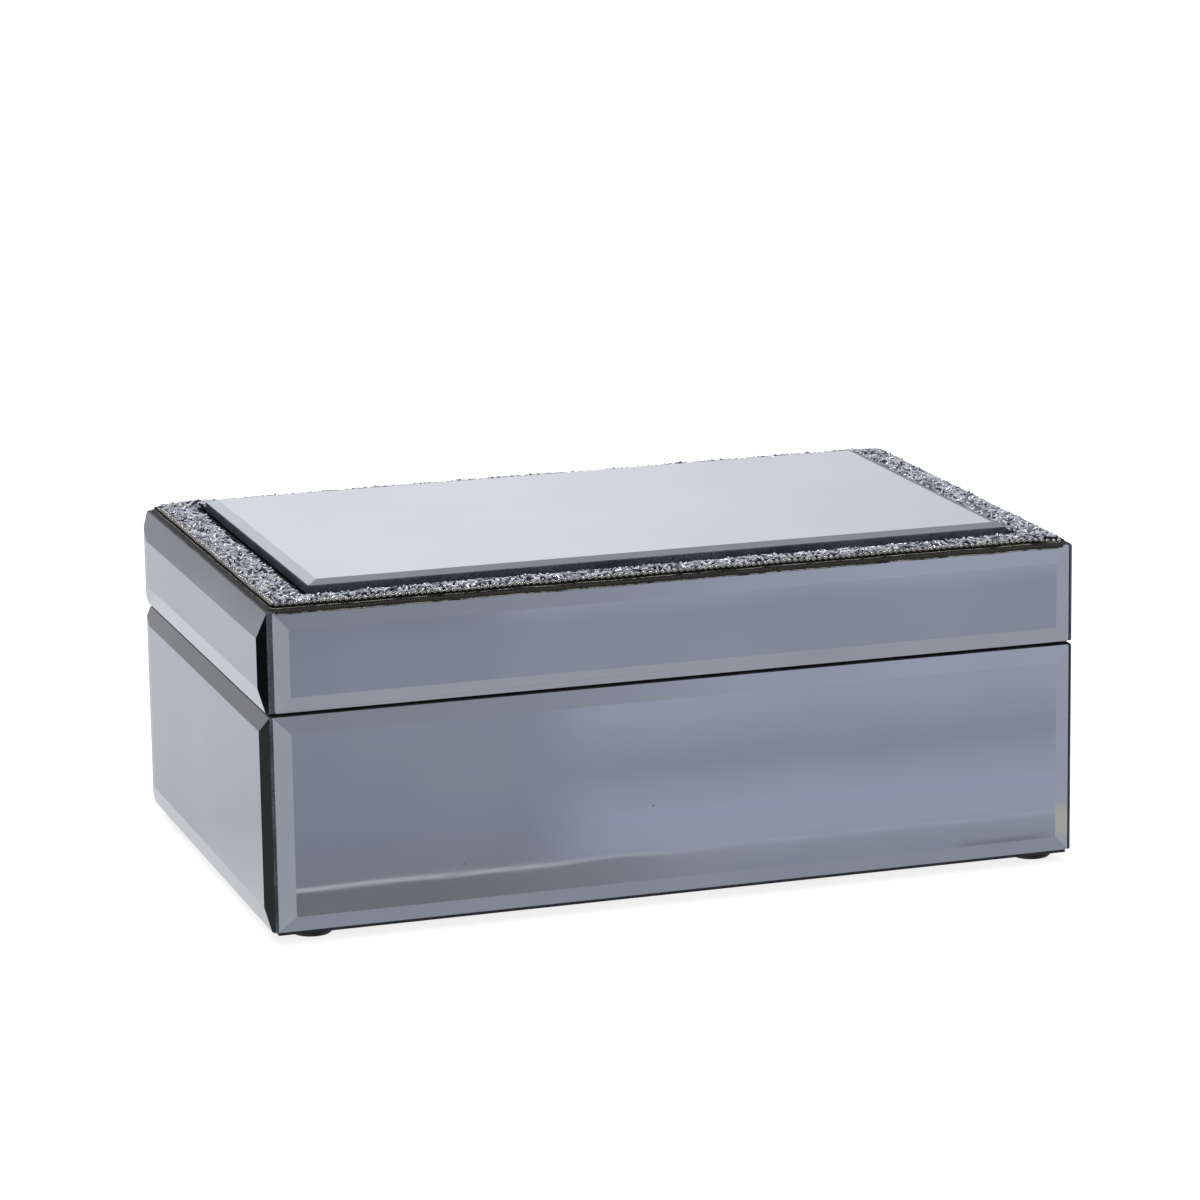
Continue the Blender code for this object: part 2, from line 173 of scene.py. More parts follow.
def mirrorBackPaint():
    # Grey protective paint rolled over the silvering.
    material, tree, shader = newMaterial("mirrorBackPaint", Base_Color="#4A4C50", Roughness=0.6)
    tree.links.new(bump(tree, noiseAt(tree, place(tree), 1.5 * mm), 0.05 * mm), shader.inputs["Normal"])
    return material


def blackPaintedBoard():
    # Medium density fibreboard under sprayed black lacquer: fine fibre shows as a dull orange peel.
    material, tree, shader = newMaterial("blackPaintedBoard", Specular_IOR_Level=0.4)
    fibre = noiseAt(tree, place(tree), 0.6 * mm, 4.0, 0.7)
    broad = noiseAt(tree, place(tree), 14 * mm, 2.0)
    tree.links.new(ramp(tree, broad, [(0.3, "#101013"), (0.7, "#1B1B1F")]), shader.inputs["Base Color"])
    tree.links.new(ramp(tree, fibre, [(0.2, 0.48), (0.8, 0.72)]), shader.inputs["Roughness"])
    tree.links.new(bump(tree, fibre, 0.08 * mm), shader.inputs["Normal"])
    return material


def blackVelvet():
    # Short pile velvet: nearly black face on, with a pale bloom where the pile leans away from the eye.
    material, tree, shader = newMaterial(
        "blackVelvet", Roughness=0.92, Specular_IOR_Level=0.15, Sheen_Weight=0.75, Sheen_Roughness=0.35,
        Sheen_Tint="#8C90A0",
    )
    pile = noiseAt(tree, place(tree), 0.45 * mm, 3.0, 0.8)
    brushed = noiseAt(tree, place(tree, (1.0, 2.2, 1.0)), 18 * mm, 3.0, 0.6)
    tone = calcIn(tree)("MULTIPLY", pile, brushed)
    tree.links.new(ramp(tree, tone, [(0.12, "#08080A"), (0.45, "#24252C")]), shader.inputs["Base Color"])
    tree.links.new(bump(tree, pile, 0.25 * mm), shader.inputs["Normal"])
    return material


def pressedFelt():
    # Dark grey pressed wool felt, matted fibres with no weave.
    material, tree, shader = newMaterial(
        "pressedFelt", Roughness=0.95, Specular_IOR_Level=0.1, Sheen_Weight=0.4, Sheen_Roughness=0.5,
    )
    fibre = add(tree, "ShaderNodeTexNoise", {
        "Vector": place(tree), "Scale": 1.0 / (1.1 * mm), "Detail": 6.0, "Roughness": 0.75, "Distortion": 1.6,
    }).outputs["Fac"]
    tree.links.new(ramp(tree, fibre, [(0.3, "#121319"), (0.7, "#2C2E38")]), shader.inputs["Base Color"])
    tree.links.new(bump(tree, fibre, 0.3 * mm), shader.inputs["Normal"])
    return material


def mouldedRubber():
    # Moulded black rubber bumper, satin with dust in its pores.
    material, tree, shader = newMaterial("mouldedRubber", Specular_IOR_Level=0.45)
    pores = noiseAt(tree, place(tree), 0.35 * mm, 3.0)
    worn = noiseAt(tree, place(tree), 5 * mm, 2.0)
    tree.links.new(ramp(tree, worn, [(0.35, "#0B0B0C"), (0.75, "#1C1C1E")]), shader.inputs["Base Color"])
    tree.links.new(ramp(tree, worn, [(0.3, 0.32), (0.7, 0.50)]), shader.inputs["Roughness"])
    tree.links.new(bump(tree, pores, 0.03 * mm), shader.inputs["Normal"])
    return material


def crushedCrystal():
    # Broken foil-backed glass chips: each has its own tone, from slate to white, with glassy broken faces.
    material, tree, shader = newMaterial(
        "crushedCrystal", Metallic=0.25, Roughness=0.22, Specular_IOR_Level=0.6,
        Coat_Weight=0.5, Coat_Roughness=0.04,
    )
    tone = add(tree, "ShaderNodeAttribute", attribute_name="chipTone").outputs["Fac"]
    colour = ramp(tree, tone, [
        (0.0, "#1E2129"), (0.16, "#5C606C"), (0.34, "#A6A8B2"),
        (0.70, "#D2D3DA"), (0.92, "#F2F2F5"), (1.0, "#C4C8E2"),
    ])
    grain = noiseAt(tree, place(tree), 0.35 * mm, 2.0)
    shade = ramp(tree, grain, [(0.35, 0.72), (0.65, 1.0)])
    mixed = add(tree, "ShaderNodeMix", {0: 1.0, 6: colour, 7: shade}, data_type="RGBA", blend_type="MULTIPLY")
    tree.links.new(mixed.outputs[2], shader.inputs["Base Color"])
    tree.links.new(bump(tree, grain, 0.06 * mm), shader.inputs["Normal"])
    return material


def glueClothAndGapShade():
    # Woven backing cloth under the chips, soaked with dark glue; its near-black colour also carries painted shade
    # for the gaps between the chips.
    material, tree, shader = newMaterial("glueClothAndGapShade", Roughness=0.75, Specular_IOR_Level=0.15)
    weave = noiseAt(tree, place(tree), 0.5 * mm, 2.0)
    # near black: the glue's own dark colour plus painted shade of the gaps between the chips
    tree.links.new(ramp(tree, weave, [(0.3, "#030407"), (0.7, "#0B0D14")]), shader.inputs["Base Color"])
    tree.links.new(bump(tree, weave, 0.2 * mm), shader.inputs["Normal"])
    return material


def gunmetalPlate():
    # Brass beads plated dark nickel: grey brown, polished, with warm brass where the plating is thin.
    material, tree, shader = newMaterial("gunmetalPlate", Metallic=1.0)
    thin = noiseAt(tree, place(tree), 2.3 * mm, 3.0)
    plating = ramp(tree, thin, [(0.30, "#8B8985"), (0.55, "#AFADA9"), (0.80, "#A89C88")])
    tree.links.new(plating, shader.inputs["Base Color"])
    tree.links.new(ramp(tree, thin, [(0.3, 0.18), (0.8, 0.28)]), shader.inputs["Roughness"])
    return material


def braidedEdging():
    # Metallised gimp: twisted olive thread with a dark core, one twist about every 0.8 mm.
    material, tree, shader = newMaterial("braidedEdging", Metallic=0.35, Roughness=0.5)
    where = add(tree, "ShaderNodeUVMap", uv_map="along").outputs["UV"]
    twist = add(tree, "ShaderNodeTexWave", {
        "Vector": where, "Scale": 1.0, "Distortion": 0.6,
    }, bands_direction="DIAGONAL").outputs["Fac"]
    colour = ramp(tree, twist, [(0.2, "#0B0A09"), (0.6, "#1D1B17"), (0.95, "#38352E")])
    tree.links.new(colour, shader.inputs["Base Color"])
    tree.links.new(bump(tree, twist, 0.15 * mm), shader.inputs["Normal"])
    return material


def tinnedWire():
    # Thin tinned wire that binds the edging: dull, with dark handling marks.
    material, tree, shader = newMaterial("tinnedWire", Metallic=0.8, Roughness=0.4)
    marks = noiseAt(tree, place(tree), 3 * mm, 3.0, 0.7)
    tree.links.new(ramp(tree, marks, [(0.38, "#2B2922"), (0.58, "#B3AFA3")]), shader.inputs["Base Color"])
    return material


def blackFoamTape():
    # Closed cell foam tape: soft black with fine open cells on its cut side.
    material, tree, shader = newMaterial("blackFoamTape", Roughness=0.9, Specular_IOR_Level=0.2)
    cells = noiseAt(tree, place(tree), 0.4 * mm, 2.0)
    tree.links.new(ramp(tree, cells, [(0.3, "#060607"), (0.7, "#121214")]), shader.inputs["Base Color"])
    tree.links.new(bump(tree, cells, 0.2 * mm), shader.inputs["Normal"])
    return material


def zincPlatedSteel():
    # Bright zinc on pressed steel: fine roll lines and a faint yellow to blue passivation bloom.
    material, tree, shader = newMaterial("zincPlatedSteel", Metallic=1.0)
    lines = noiseAt(tree, place(tree, (0.05, 1.0, 1.0)), 0.25 * mm, 3.0)
    bloom = noiseAt(tree, place(tree), 6 * mm, 2.0)
    zinc = ramp(tree, bloom, [(0.3, "#A9ADB3"), (0.55, "#BDBDB9"), (0.8, "#BDB7A6")])
    tree.links.new(zinc, shader.inputs["Base Color"])
    tree.links.new(ramp(tree, lines, [(0.2, 0.24), (0.8, 0.42)]), shader.inputs["Roughness"])
    tree.links.new(bump(tree, lines, 0.02 * mm), shader.inputs["Normal"])
    return material


mirrorGlass = silveredMirrorGlass()
glassEdge = groundGlassEdge()
backPaint = mirrorBackPaint()
board = blackPaintedBoard()
velvet = blackVelvet()
felt = pressedFelt()
rubber = mouldedRubber()
crystal = crushedCrystal()
cloth = glueClothAndGapShade()
gunmetal = gunmetalPlate()
braid = braidedEdging()
wire = tinnedWire()
foam = blackFoamTape()
zincSteel = zincPlatedSteel()
print("materials made")


# mirrors

panelGlass = {
    "arris": 0.2 * mm,         # the ground edge's broken corner
    "cornerRadius": 0.9 * mm,
    "cornerSteps": 4,
    "closeUp": 0.3 * mm,
}
# how far each glass reaches past its place, left and right as seen in plan
reach = {
    "base_front": (1.2 * mm, 1.2 * mm),
    "lid_front": (0.5 * mm, 1.1 * mm),
    "base_right": (-1.2 * mm, 0.0),
    "lid_right": (-1.1 * mm, 0.0),
}
# width of each bevel and how far it drops, seen from outside
evenBevels = {side: (5.0 * mm, 2.1 * mm) for side in ("left", "right", "bottom", "top")}
plateBevels = {side: (3.4 * mm, 1.1 * mm) for side in evenBevels}
shallowBack = (6.5 * mm, 0.8 * mm)
baseEnds = {**evenBevels, "bottom": (6.7 * mm, 1.4 * mm)}
lidEnds = {**evenBevels, "top": (8.3 * mm, 2.1 * mm), "bottom": (6.7 * mm, 1.4 * mm)}
bevels = {
    "base_front": {**evenBevels, "bottom": (5.0 * mm, 2.25 * mm)},
    "base_back": evenBevels,
    "lid_front": {**evenBevels, "left": (4.4 * mm, 2.1 * mm)},
    "lid_back": evenBevels,
    "base_left": {**baseEnds, "left": shallowBack},
    "base_right": {**baseEnds, "right": shallowBack},
    "lid_left": {**lidEnds, "left": shallowBack},
    "lid_right": {**lidEnds, "right": shallowBack},
}

# across, up and outwards for each side
sideAxes = {
    "front": ((1, 0, 0), (0, 0, 1), (0, -1, 0)),
    "back": ((-1, 0, 0), (0, 0, 1), (0, 1, 0)),
    "left": ((0, -1, 0), (0, 0, 1), (-1, 0, 0)),
    "right": ((0, 1, 0), (0, 0, 1), (1, 0, 0)),
    "top": ((1, 0, 0), (0, 1, 0), (0, 0, 1)),
}


def roundedOutline(halfWidth, halfHeight, radius, steps):
    points = []
    for quarter, (signX, signY) in enumerate(((1, 1), (-1, 1), (-1, -1), (1, -1))):
        centre = Vector((signX * (halfWidth - radius), signY * (halfHeight - radius)))
        for step in range(steps + 1):
            angle = math.radians(90) * (quarter + step / steps)
            points.append(centre + radius * Vector((math.cos(angle), math.sin(angle))))
    return points


def mirrorMesh(name, low, high, axes, cuts, polished=False):
    # a slab with rounded corners, ground away by one plane along each side
    across, up, out = (Vector(axis) for axis in axes)
    centre, span = (low + high) / 2, high - low
    halfWidth, halfHeight = abs(span.dot(across)) / 2, abs(span.dot(up)) / 2
    thick = abs(span.dot(out))
    bm = bmesh.new()
    outline = roundedOutline(halfWidth, halfHeight, panelGlass["cornerRadius"], panelGlass["cornerSteps"])
    back = bm.faces.new([bm.verts.new((p.x, p.y, 0.0)) for p in outline])
    raised = bmesh.ops.extrude_face_region(bm, geom=[back])["geom"]
    raised = [v for v in raised if isinstance(v, bmesh.types.BMVert)]
    bmesh.ops.translate(bm, vec=(0, 0, thick), verts=raised)
    directions = {"left": (-1, 0), "right": (1, 0), "bottom": (0, -1), "top": (0, 1)}
    for side, (width, drop) in cuts.items():
        direction = Vector((*directions[side], 0.0))
        half = halfWidth if side in ("left", "right") else halfHeight
        bmesh.ops.bisect_plane(
            bm, geom=bm.verts[:] + bm.edges[:] + bm.faces[:], dist=1e-7, clear_outer=True,
            plane_co=direction * (half - width) + Vector((0, 0, thick)),
            plane_no=direction * drop + Vector((0, 0, width)),
        )
        bmesh.ops.holes_fill(bm, edges=bm.edges[:], sides=0)
    bmesh.ops.recalc_face_normals(bm, faces=bm.faces)
    for face in bm.faces:      # silvered front 0, ground edge 1, painted back 2
        face.material_index = 0 if face.normal.z > 0.5 else 2 if face.normal.z < -0.5 else 1
    rim = [e for e in bm.edges if sorted(f.material_index for f in e.link_faces) == [0, 1]]
    bmesh.ops.bevel(bm, geom=rim, offset=panelGlass["arris"], segments=1, affect="EDGES",
                    material=0 if polished else 1, clamp_overlap=True)
    turn = Matrix((across, up, out)).transposed().to_4x4()
    bm.transform(Matrix.Translation(centre - out * thick / 2) @ turn)
    return meshFrom(bm, name)


def makeMirrors():
    glass = [mirrorGlass, glassEdge, backPaint]
    for body in ("base", "lid"):
        for side in ("front", "back", "left", "right"):
            node = f"{body}_{side}_mirror"
            low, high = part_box(node)
            before, after = reach.get(f"{body}_{side}", (0.0, 0.0))
            low.x -= before
            high.x += after
            # the two rows of glass nearly meet at the opening
            if body == "base":
                high.z += panelGlass["closeUp"]
            else:
                low.z -= panelGlass["closeUp"]
            polished = node == "base_front_mirror"
            mesh = mirrorMesh(node, low, high, sideAxes[side], bevels[f"{body}_{side}"], polished)
            newPiece(f"{body}{side.title()}Mirror", mesh, glass, body, [node])
    mesh = mirrorMesh("plate", *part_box("lid_mirror_plate"), sideAxes["top"], plateBevels)
    newPiece("lidMirrorPlate", mesh, glass, "lid", ["lid_mirror_plate"])


makeMirrors()
print("mirrors made")


# crushed crystal tape

crystalTape = {
    "chipSpacing": 0.99 * mm,
    "chipLength": 1.8 * mm,
    "chipRadius": 0.35 * mm,
    "tilt": 0.38,              # radians a chip may lean out of the tape
    "lumps": 0.55 * mm,        # how far the bed rises and falls
    "raggedness": 0.7 * mm,    # how far its edges wander
    "seed": 7,
}
chipVariety = {
    "lumpSize": 13 * mm,
    "lumpMiddle": 0.55,        # the noise value that leaves the bed at its height
    "driftSize": 9.0 * mm,
    "densest": 3.0e6,          # chips a square metre before the spacing thins them
    "smallest": (0.55, 0.7, 0.7),
    "largest": (1.35, 1.3, 1.25),
    "sides": 5,
    "turnSeed": 11,
    "sizeSeed": 12,
    "toneSeed": 13,
}
tapeBed = {
    "cell": 1.6 * mm,
    "crown": 0.55 * mm,        # the tape is fuller along its middle
    "backCrown": 1.15 * mm,
    "sink": 0.45 * mm,
    "sideChannel": 3.0 * mm,   # bare cloth between chips and plate
    "frontChannel": 2.4 * mm,
}
beadLedge = 1.7 * mm           # bare strip outside the chips
tapeCloth = {
    "bedDrop": 0.7 * mm,       # the glue bed's top below the chips' tops
    "ledgeHeight": 1.0 * mm,
    "shoulder": 0.3 * mm,
    "step": 0.05 * mm,
}


def tapeBedMesh():
    # one quad grid ring over the four lengths of tape, set back from the bead ledge and the plate
    outerLow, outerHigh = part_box("crystal_tape_front")[0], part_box("crystal_tape_back")[1]
    plateLow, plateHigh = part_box("lid_mirror_plate")
    low = outerLow.to_2d() + Vector((beadLedge, beadLedge))
    high = outerHigh.to_2d() - Vector((beadLedge, beadLedge))
    channel = Vector((tapeBed["sideChannel"], tapeBed["frontChannel"]))
    holeLow, holeHigh = plateLow.to_2d() - channel, plateHigh.to_2d() + channel

    def marks(a, b, c, d):
        # a to b and c to d are the tape's widths, b to c runs between them
        stops = []
        for first, last in ((a, b), (b, c), (c, d)):
            count = max(1, round((last - first) / tapeBed["cell"]))
            stops += [first + (last - first) * i / count for i in range(count)]
        return stops + [d]

    xs = marks(low.x, holeLow.x, holeHigh.x, high.x)
    ys = marks(low.y, holeLow.y, holeHigh.y, high.y)
    foot = outerHigh.z - tapeBed["sink"]
    bm = bmesh.new()
    grid = {}

    def vertex(i, j):
        if (i, j) not in grid:
            x, y = xs[i], ys[j]
            toEdge = min(x - low.x, high.x - x, y - low.y, high.y - y)
            toHole = max(holeLow.x - x, x - holeHigh.x, holeLow.y - y, y - holeHigh.y)
            share = toEdge / max(toEdge + toHole, 0.1 * mm)
            crown = tapeBed["backCrown" if y > holeHigh.y else "crown"]
            grid[i, j] = bm.verts.new((x, y, foot + crown * math.sin(math.pi * share)))
        return grid[i, j]

    tiny = 0.01 * mm
    for i in range(len(xs) - 1):
        for j in range(len(ys) - 1):
            overX = xs[i] > holeLow.x - tiny and xs[i + 1] < holeHigh.x + tiny
            overY = ys[j] > holeLow.y - tiny and ys[j + 1] < holeHigh.y + tiny
            if not (overX and overY):
                bm.faces.new((vertex(i, j), vertex(i + 1, j), vertex(i + 1, j + 1), vertex(i, j + 1)))
    mesh = bpy.data.meshes.new("tapeBed")
    bm.to_mesh(mesh)
    bm.free()
    return mesh


def newTree(name, sizes):
    # a Geometry Nodes tree with one named input for each entry of sizes
    tree = bpy.data.node_groups.new(name, "GeometryNodeTree")
    tree.interface.new_socket("Geometry", in_out="INPUT", socket_type="NodeSocketGeometry")
    tree.interface.new_socket("Geometry", in_out="OUTPUT", socket_type="NodeSocketGeometry")
    for key, value in sizes.items():
        kind = "NodeSocketInt" if isinstance(value, int) else "NodeSocketFloat"
        tree.interface.new_socket(key, in_out="INPUT", socket_type=kind)
    return tree, add(tree, "NodeGroupInput").outputs


def growMesh(mesh, tree, sizes, name):
    # runs the tree on the mesh and returns the plain mesh it makes
    carrier = bpy.data.objects.new(name, mesh)
    bpy.context.scene.collection.objects.link(carrier)
    modifier = carrier.modifiers.new(tree.name, "NODES")
    modifier.node_group = tree
    for item in tree.interface.items_tree:
        if item.in_out == "INPUT" and item.name in sizes:
            modifier[item.identifier] = sizes[item.name]
    evaluated = carrier.evaluated_get(bpy.context.evaluated_depsgraph_get())
    grown = bpy.data.meshes.new_from_object(evaluated)
    bpy.data.objects.remove(carrier)
    return grown


def crystalTree(sizes):
    tree, inputs = newTree("crystalChips", sizes)
    where = add(tree, "GeometryNodeInputPosition").outputs[0]
    calc = calcIn(tree)
    lump = add(tree, "ShaderNodeTexNoise", {
        "Vector": where, "Scale": 1 / chipVariety["lumpSize"], "Detail": 2.0,
    }).outputs["Fac"]
    drift = add(tree, "ShaderNodeTexNoise", {
        "Vector": where, "Scale": 1 / chipVariety["driftSize"], "Detail": 1.0,
    }).outputs["Color"]
    rise = calc("MULTIPLY", calc("SUBTRACT", lump, chipVariety["lumpMiddle"]), inputs["lumps"])
    rise = calc("MULTIPLY", rise, 2.0)
    sideways = add(tree, "ShaderNodeVectorMath", {
        0: drift, 1: (0.5, 0.5, 0.5),
    }, operation="SUBTRACT").outputs[0]
    sideways = add(tree, "ShaderNodeVectorMath", {
        0: sideways, "Scale": inputs["raggedness"],
    }, operation="SCALE").outputs[0]
    up = add(tree, "ShaderNodeCombineXYZ", {"Z": rise}).outputs[0]
    offset = add(tree, "ShaderNodeVectorMath", {0: sideways, 1: up}, operation="ADD").outputs[0]
    bed = add(tree, "GeometryNodeSetPosition", {"Geometry": inputs["Geometry"], "Offset": offset}).outputs[0]

    spread = add(tree, "GeometryNodeDistributePointsOnFaces", {
        "Mesh": bed, "Distance Min": inputs["chipSpacing"], "Density Max": chipVariety["densest"],
        "Seed": inputs["seed"],
    }, distribute_method="POISSON")
    down = calc("MULTIPLY", inputs["tilt"], -1.0)
    lowTurn = add(tree, "ShaderNodeCombineXYZ", {"X": down, "Y": down, "Z": -math.pi}).outputs[0]
    highTurn = add(tree, "ShaderNodeCombineXYZ", {
        "X": inputs["tilt"], "Y": inputs["tilt"], "Z": math.pi,
    }).outputs[0]
    turn = add(tree, "FunctionNodeRandomValue", {
        0: lowTurn, 1: highTurn, "Seed": chipVariety["turnSeed"],
    }, data_type="FLOAT_VECTOR").outputs[0]
    turn = add(tree, "FunctionNodeEulerToRotation", {"Euler": turn}).outputs[0]
    size = add(tree, "FunctionNodeRandomValue", {
        0: chipVariety["smallest"], 1: chipVariety["largest"], "Seed": chipVariety["sizeSeed"],
    }, data_type="FLOAT_VECTOR").outputs[0]
    # a chip is a splinter with a few flat sides, lying down
    splinter = add(tree, "GeometryNodeMeshCylinder", {
        "Vertices": chipVariety["sides"], "Radius": inputs["chipRadius"], "Depth": inputs["chipLength"],
    }, fill_type="NGON").outputs["Mesh"]
    lying = add(tree, "GeometryNodeTransform", {
        "Geometry": splinter, "Rotation": (0.0, math.pi / 2, 0.0),
    }).outputs[0]
    chips = add(tree, "GeometryNodeInstanceOnPoints", {
        "Points": spread.outputs["Points"], "Instance": lying, "Rotation": turn, "Scale": size,
    }).outputs[0]
    tone = add(tree, "FunctionNodeRandomValue", {
        2: 0.0, 3: 1.0, "Seed": chipVariety["toneSeed"],
    }, data_type="FLOAT").outputs[1]
    chips = add(tree, "GeometryNodeStoreNamedAttribute", {
        "Geometry": chips, "Name": "chipTone", "Value": tone,
    }, data_type="FLOAT", domain="INSTANCE").outputs[0]
    loose = add(tree, "GeometryNodeRealizeInstances", {"Geometry": chips}).outputs[0]
    painted = add(tree, "GeometryNodeSetMaterial", {"Geometry": loose, "Material": crystal}).outputs[0]
    add(tree, "NodeGroupOutput", {0: painted})
    return tree


def makeCrystalTape():
    mesh = growMesh(tapeBedMesh(), crystalTree(crystalTape), crystalTape, "crystalChips")
    print("crystal chips:", len(mesh.polygons), "faces")
    newPiece("crystalChips", mesh, [crystal], "lid")


def makeTapeCloth():
    # each length of cloth: a flat backing with a swollen glue bed on it
    for side in ("front", "back", "left", "right"):
        node = f"crystal_tape_{side}"
        low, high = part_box(node)
        bm = bmesh.new()
        bmesh.ops.create_cube(bm, size=1.0)
        bmesh.ops.scale(bm, vec=high - low - Vector((0.0, 0.0, tapeCloth["bedDrop"])), verts=bm.verts)
        middle = (low + high) / 2 - Vector((0.0, 0.0, tapeCloth["bedDrop"] / 2))
        bmesh.ops.translate(bm, vec=middle, verts=bm.verts)
        # only the sides that face outwards have a ledge: low x and y first, then high
        inset = {
            "front": ((beadLedge, beadLedge), (beadLedge, 0)),
            "back": ((beadLedge, 0), (beadLedge, beadLedge)),
            "left": ((beadLedge, 0), (0, 0)),
            "right": ((0, 0), (beadLedge, 0)),
        }[side]
        ledgeTop = low.z + tapeCloth["ledgeHeight"]
        for vert in bm.verts:
            if vert.co.z > (low.z + high.z) / 2:
                vert.co.z = ledgeTop
        top = max(bm.faces, key=lambda f: f.calc_center_median().z)
        bmesh.ops.inset_region(bm, faces=[top], thickness=tapeCloth["step"])
        bedLow = low.to_2d() + Vector(inset[0])
        bedHigh = high.to_2d() - Vector(inset[1])
        shoulder = tapeCloth["shoulder"]
        for vert in top.verts:
            vert.co.x = min(max(vert.co.x, bedLow.x + shoulder), bedHigh.x - shoulder)
            vert.co.y = min(max(vert.co.y, bedLow.y + shoulder), bedHigh.y - shoulder)
            vert.co.z = high.z - tapeCloth["bedDrop"]
        newPiece(f"tapeCloth{side.title()}", meshFrom(bm, node), [cloth], "lid", [node])


makeCrystalTape()
makeTapeCloth()
print("crystal tape made")


# bead chain and its edging

endTuck = 0.8 * mm             # the trim sits this much closer in at the two ends
beadChain = {
    "pitch": 1.85 * mm,
    "beadRadius": 0.80 * mm,
    "linkRadius": 0.22 * mm,
    "wander": 0.25 * mm,       # laid by hand, so it isn't quite straight
    "outwards": 0.95 * mm,
    "drop": 0.50 * mm,         # it lies against the tape's flank
    "farDrop": 0.9 * mm,       # further down along the back and the right
    "farStart": 8 * mm,        # it begins to sink this far from them, over farRun
    "farRun": 6 * mm,
    "cornerRadius": 1.8 * mm,
    "seed": 3,
}
edgeRibbon = {
    "rib": 0.8 * mm,
    "step": 0.9 * mm,
    "cornerRadius": 1.2 * mm,
    "wander": 0.12 * mm,
    "seed": 1,
    # outwards from the tape's edge and up from its foot, in mm: it laps over the glass's top edge
    "section": (
        (-0.60, 0.95), (0.20, 0.85), (1.00, 0.50), (1.75, 0.18), (2.12, -0.02), (2.34, -0.45),
        (2.44, -0.92), (2.28, -0.92), (2.10, -0.42), (1.88, -0.14), (1.60, 0.00), (-0.60, 0.02),
    ),
    "wireWander": 0.25 * mm,
    "wireSeed": 4,
    "wireSides": 6,
}
# each binding wire: radius, outwards, up
edgeWires = ((0.14 * mm, 2.42 * mm, -0.86 * mm), (0.11 * mm, 1.15 * mm, 0.56 * mm))


trimPath = {
    "cornerSteps": 6,
    "fewest": 8,
    "waveLength": 11 * mm,     # how long the trim's wanders are
    "upShare": 0.7,            # it wanders less up and down
}


def ringPath(halfX, halfY, radius, centreY, height, step, wander, seed):
    # points evenly along a rounded rectangle, nudged by smooth noise
    corners = roundedOutline(halfX, halfY, radius, trimPath["cornerSteps"])
    lengths = [(b - a).length for a, b in zip(corners, corners[1:] + corners[:1])]
    total = sum(lengths)
    count = max(trimPath["fewest"], round(total / step))
    points = []
    index, passed = 0, 0.0
    for k in range(count):
        target = total * k / count
        while passed + lengths[index] < target:
            passed += lengths[index]
            index += 1
        a, b = corners[index], corners[(index + 1) % len(corners)]
        p = a.lerp(b, (target - passed) / lengths[index])
        nudge = noise.noise_vector(Vector((p.x, p.y, seed * mm)) / trimPath["waveLength"]) * wander
        rise = nudge.z * trimPath["upShare"]
        points.append(Vector((p.x + nudge.x, p.y + centreY + nudge.y, height + rise)))
    return points


def loopMesh(points):
    mesh = bpy.data.meshes.new("loop")
    count = len(points)
    mesh.from_pydata(points, [(i, (i + 1) % count) for i in range(count)], [])
    return mesh


def chainTree(sizes):
    tree, inputs = newTree("beadChain", sizes)
    line = add(tree, "GeometryNodeMeshToCurve", {"Mesh": inputs["Geometry"]}).outputs[0]
    ball = add(tree, "GeometryNodeMeshIcoSphere", {
        "Radius": inputs["beadRadius"], "Subdivisions": 2,
    }).outputs["Mesh"]
    ball = add(tree, "GeometryNodeSetShadeSmooth", {"Geometry": ball}).outputs[0]
    beads = add(tree, "GeometryNodeInstanceOnPoints", {
        "Points": inputs["Geometry"], "Instance": ball,
    }).outputs[0]
    profile = add(tree, "GeometryNodeCurvePrimitiveCircle", {
        "Resolution": 5, "Radius": inputs["linkRadius"],
    }).outputs[0]
    links = add(tree, "GeometryNodeCurveToMesh", {"Curve": line, "Profile Curve": profile}).outputs[0]
    both = add(tree, "GeometryNodeJoinGeometry")
    for part in (beads, links):
        tree.links.new(part, both.inputs[0])
    loose = add(tree, "GeometryNodeRealizeInstances", {"Geometry": both.outputs[0]}).outputs[0]
    painted = add(tree, "GeometryNodeSetMaterial", {"Geometry": loose, "Material": gunmetal}).outputs[0]
    add(tree, "NodeGroupOutput", {0: painted})
    return tree


def makeBeadChain():
    low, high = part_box("bead_chain_left")
    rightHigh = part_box("bead_chain_right")[1]
    lineInset = (high.x - low.x) / 2
    halfX = rightHigh.x - lineInset + beadChain["outwards"] - endTuck
    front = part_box("bead_chain_front")[0].y + lineInset
    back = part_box("bead_chain_back")[1].y - lineInset
    centreY, halfY = (front + back) / 2, (back - front) / 2 + beadChain["outwards"]
    height = (low.z + high.z) / 2 - beadChain["drop"]
    points = ringPath(
        halfX, halfY, beadChain["cornerRadius"], centreY, height,
        beadChain["pitch"], beadChain["wander"], beadChain["seed"],
    )
    for point in points:
        past = max(point.y - back, point.x - halfX) + beadChain["farStart"]
        point.z -= beadChain["farDrop"] * min(1.0, max(0.0, past / beadChain["farRun"]))
    sizes = {key: beadChain[key] for key in ("beadRadius", "linkRadius")}
    mesh = growMesh(loopMesh(points), chainTree(sizes), sizes, "beadChain")
    print("beads:", len(points))
    replaced = [f"bead_chain_{side}" for side in ("front", "back", "left", "right")]
    newPiece("beadChain", mesh, [gunmetal], "lid", replaced)


